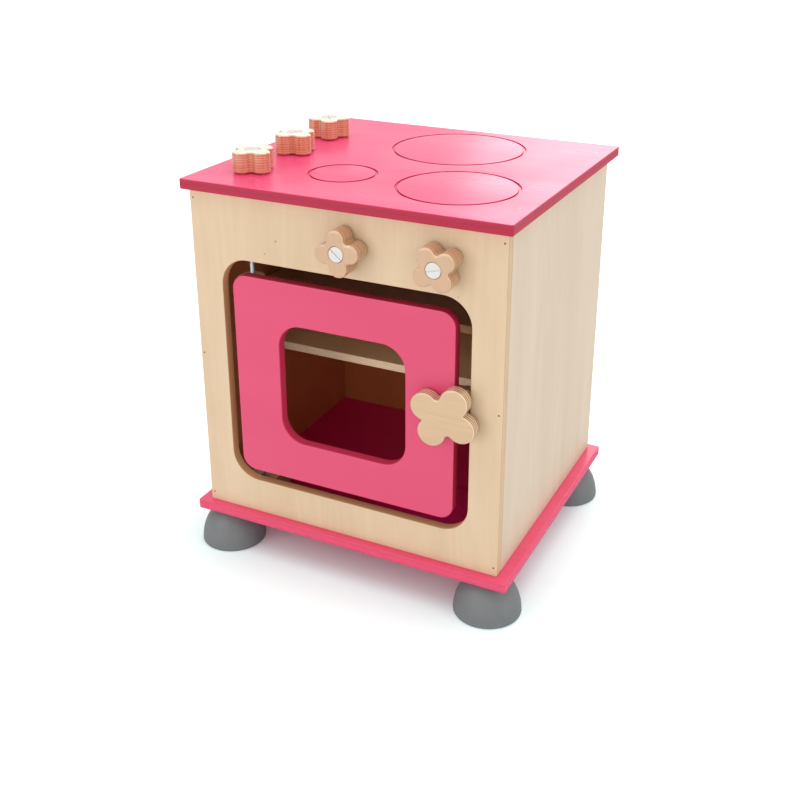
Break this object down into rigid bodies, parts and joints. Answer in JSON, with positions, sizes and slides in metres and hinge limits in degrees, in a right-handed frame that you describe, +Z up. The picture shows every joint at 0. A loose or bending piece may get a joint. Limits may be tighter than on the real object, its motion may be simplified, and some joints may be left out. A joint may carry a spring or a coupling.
{
  "type": "toy oven",
  "caption": "Wooden play cooker for small children: plywood cabinet on rubber feet with a hinged window door, a turning flower latch, flower knobs and ring grooves on the hob.",
  "frame": {"origin": "on the floor, in the middle of the footprint", "axes": "+Z up; -Y out of the front, where the door opens; +X to the right seen from the front"},
  "size_m": [0.4308, 0.386, 0.501],
  "materials": {
    "pink_ply": "pink satin stain and lacquer",
    "natural_ply": "clear satin lacquer on birch plywood",
    "knob_ply": "clear satin lacquer on many-ply birch",
    "shelf_ply": "clear satin lacquer",
    "steel": "zinc-plated",
    "cap_metal": "white satin lacquer",
    "grey_rubber": "matte"
  },
  "bodies": {
    "cabinet": {"base_panel": "pink_ply", "left_side": "natural_ply", "right_side": "natural_ply", "front_panel": "natural_ply", "back_panel": "natural_ply", "hob_top": "pink_ply", "lower_shelf": "shelf_ply", "upper_shelf": "shelf_ply", "shelf_battens": "shelf_ply", "rod_block_lower": "natural_ply", "rod_block_upper": "natural_ply", "hinge_rod": "steel", "rod_collar": "steel", "foot_front_left": "grey_rubber", "foot_front_right": "grey_rubber", "foot_back_left": "grey_rubber", "foot_back_right": "grey_rubber", "foot_washers": "steel", "foot_screws": "steel", "panel_brads": "steel", "oven_knob_bolts": "cap_metal", "oven_knob_screws": "steel", "oven_knob_washers": "steel", "hob_knob_bolts": "cap_metal", "hob_knob_screws": "steel", "hob_knob_washers": "steel"},
    "door": {"door_panel": "pink_ply", "knuckle_lower": "natural_ply", "knuckle_upper": "natural_ply", "knuckle_screws": "steel"},
    "latch": {"latch_flower": "knob_ply", "latch_washer": "steel", "latch_spindle": "knob_ply", "latch_spacer": "knob_ply", "catch_flower": "knob_ply", "latch_screw": "steel"},
    "oven_knob_left": {"oven_knob_left": "knob_ply"},
    "oven_knob_right": {"oven_knob_right": "knob_ply"},
    "hob_knob_front": {"hob_knob_front": "knob_ply"},
    "hob_knob_middle": {"hob_knob_middle": "knob_ply"},
    "hob_knob_back": {"hob_knob_back": "knob_ply"}
  },
  "joints": [
    {"name": "door_hinge", "type": "hinge", "parent": "cabinet", "child": "door", "pos_m": [-0.1255, -0.15, 0.246], "axis": [0, 0, -1], "range_deg": [0, 97]},
    {"name": "latch_turn", "type": "hinge", "parent": "door", "child": "latch", "pos_m": [0.131, -0.166, 0.2545], "axis": [0, -1, 0], "continuous": true},
    {"name": "oven_knob_left_turn", "type": "hinge", "parent": "cabinet", "child": "oven_knob_left", "pos_m": [0.009, -0.181, 0.422], "axis": [0, -1, 0], "continuous": true},
    {"name": "oven_knob_right_turn", "type": "hinge", "parent": "cabinet", "child": "oven_knob_right", "pos_m": [0.1215, -0.181, 0.422], "axis": [0, -1, 0], "continuous": true},
    {"name": "hob_knob_front_turn", "type": "hinge", "parent": "cabinet", "child": "hob_knob_front", "pos_m": [-0.144, -0.11, 0.489], "axis": [0, 0, 1], "continuous": true},
    {"name": "hob_knob_middle_turn", "type": "hinge", "parent": "cabinet", "child": "hob_knob_middle", "pos_m": [-0.147, -0.013, 0.489], "axis": [0, 0, 1], "continuous": true},
    {"name": "hob_knob_back_turn", "type": "hinge", "parent": "cabinet", "child": "hob_knob_back", "pos_m": [-0.152, 0.079, 0.489], "axis": [0, 0, 1], "continuous": true}
  ]
}
